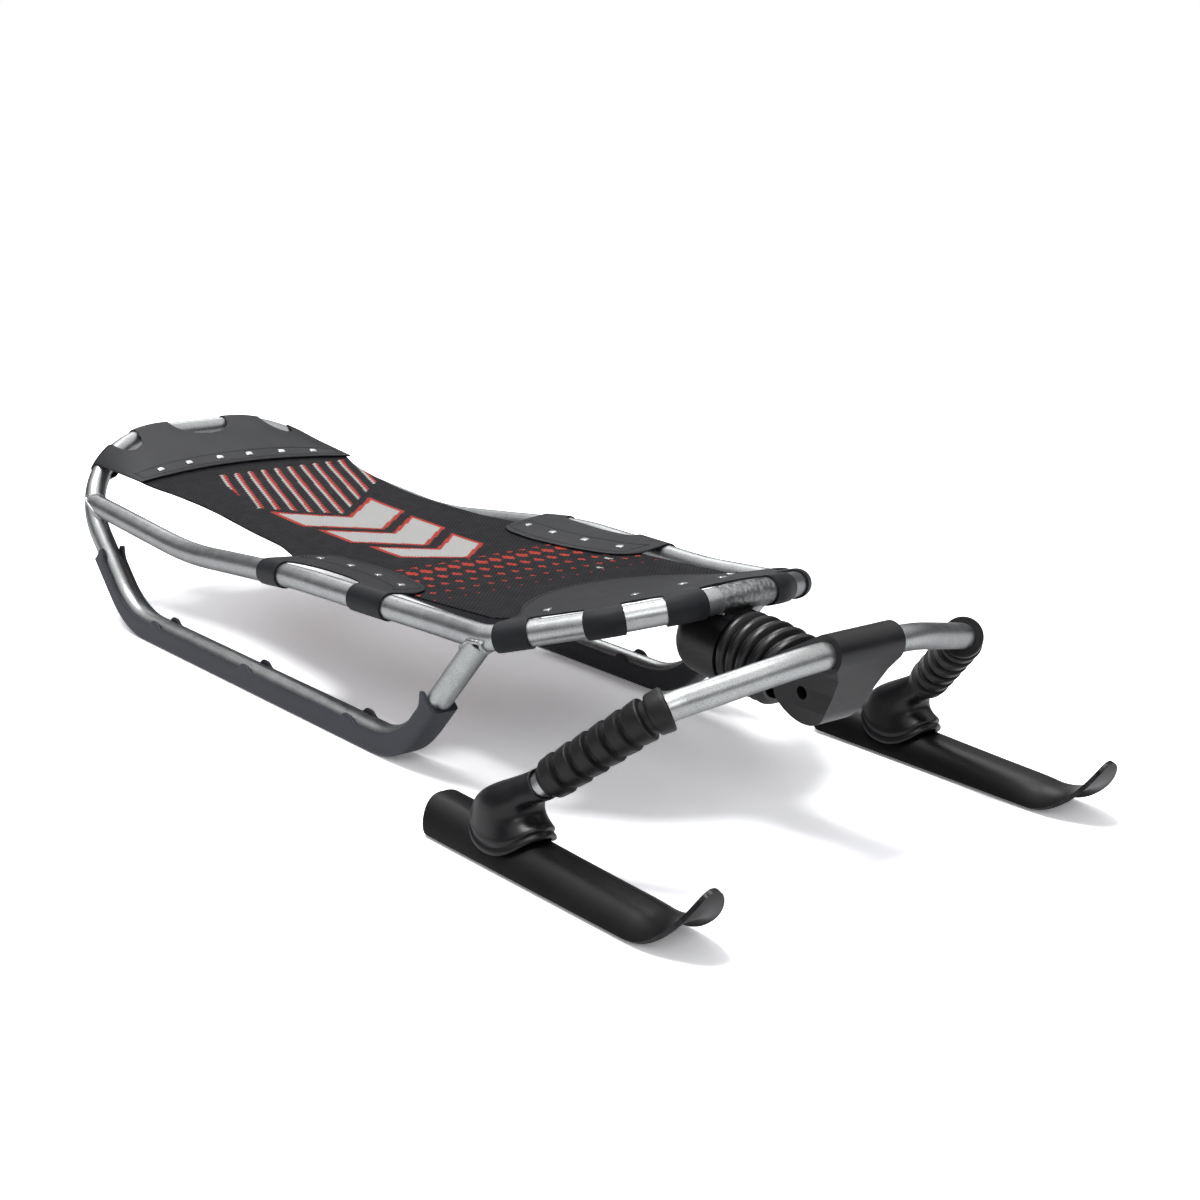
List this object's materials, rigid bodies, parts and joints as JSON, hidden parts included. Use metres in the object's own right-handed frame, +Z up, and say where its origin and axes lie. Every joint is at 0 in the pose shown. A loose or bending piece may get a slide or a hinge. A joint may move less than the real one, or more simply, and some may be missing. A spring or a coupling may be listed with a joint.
{
  "type": "steerable snow sled",
  "caption": "Low snow sled with a bent-tube frame on covered runners, a slung mesh seat with strapped vinyl patches, and a pivoting front bar on rocking skis",
  "frame": {"origin": "on the floor, under the middle of the sled's bounding box", "axes": "+X forwards towards the skis, +Y to the rider's left, +Z up"},
  "size_m": [1.3033, 0.572, 0.2208],
  "materials": {
    "frame_tube": "satin, fine grey grain",
    "runner_plastic": "satin slate grey",
    "mesh_cloth": "woven, black with a red and white pattern",
    "vinyl": "satin charcoal vinyl",
    "steel_fittings": "zinc plated",
    "soft_rubber": "satin black rubber",
    "grip_rubber": "matt black rubber",
    "block_plastic": "satin black plastic",
    "ski_plastic": "satin black plastic"
  },
  "bodies": {
    "frame": {"rear_hoop": "frame_tube", "runner_tube_left": "frame_tube", "runner_tube_right": "frame_tube", "seat_rail_left": "frame_tube", "seat_rail_right": "frame_tube", "nose_bow": "frame_tube", "runner_cover_left": "runner_plastic", "runner_cover_right": "runner_plastic", "seat_mesh": "mesh_cloth", "rear_patch": "vinyl", "side_patch_left": "vinyl", "side_patch_right": "vinyl", "front_patch": "vinyl", "pivot_bracket": "steel_fittings", "kingpin": "steel_fittings", "pivot_housing": "soft_rubber", "pivot_bellows": "soft_rubber"},
    "steering": {"steering_block_left": "block_plastic", "steering_block_right": "block_plastic", "steering_neck": "steel_fittings", "steering_bar": "frame_tube", "grip_left": "grip_rubber", "grip_right": "grip_rubber", "ankle_left": "steel_fittings", "ankle_right": "steel_fittings", "boot_left": "soft_rubber", "boot_right": "soft_rubber"},
    "ski_left_body": {"ski_left": "ski_plastic", "ski_mount_left": "steel_fittings", "ski_pin_left": "steel_fittings"},
    "ski_right_body": {"ski_right": "ski_plastic", "ski_mount_right": "steel_fittings", "ski_pin_right": "steel_fittings"}
  },
  "joints": [
    {"name": "steering_turn", "type": "hinge", "parent": "frame", "child": "steering", "pos_m": [0.374, 0, 0.159], "axis": [0, 0, 1], "range_deg": [-20, 20], "deforming": ["pivot_bellows"]},
    {"name": "ski_left_rock", "type": "hinge", "parent": "steering", "child": "ski_left_body", "pos_m": [0.3625, 0.249, 0.044], "axis": [0, 1, 0], "range_deg": [-12, 8], "deforming": ["boot_left"]},
    {"name": "ski_right_rock", "type": "hinge", "parent": "steering", "child": "ski_right_body", "pos_m": [0.3625, -0.249, 0.044], "axis": [0, 1, 0], "range_deg": [-12, 8], "deforming": ["boot_right"]}
  ]
}
